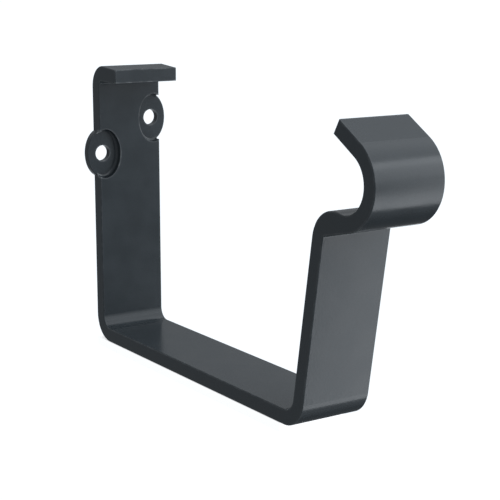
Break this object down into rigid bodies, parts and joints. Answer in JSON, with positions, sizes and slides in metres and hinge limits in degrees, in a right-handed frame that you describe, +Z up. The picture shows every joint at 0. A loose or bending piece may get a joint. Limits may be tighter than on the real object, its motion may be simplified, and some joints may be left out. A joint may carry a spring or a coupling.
{
  "type": "gutter bracket",
  "caption": "Fascia bracket for a box gutter: a folded flat strip with screw ears, a lip over the gutter's back edge, a flat floor and a leaning front wall that ends in a bead hook.",
  "frame": {"origin": "on the wall face, on the strip's centre line, halfway in height between the two screw holes", "axes": "+Y out of the back face into the wall, so the trough reaches along -Y; +Z up; X across the strip"},
  "size_m": [0.0324, 0.1639, 0.1018],
  "materials": {
    "coated_casting": "satin anthracite grey powder coat"
  },
  "bodies": {
    "root": {"bracket": "coated_casting"}
  },
  "joints": []
}
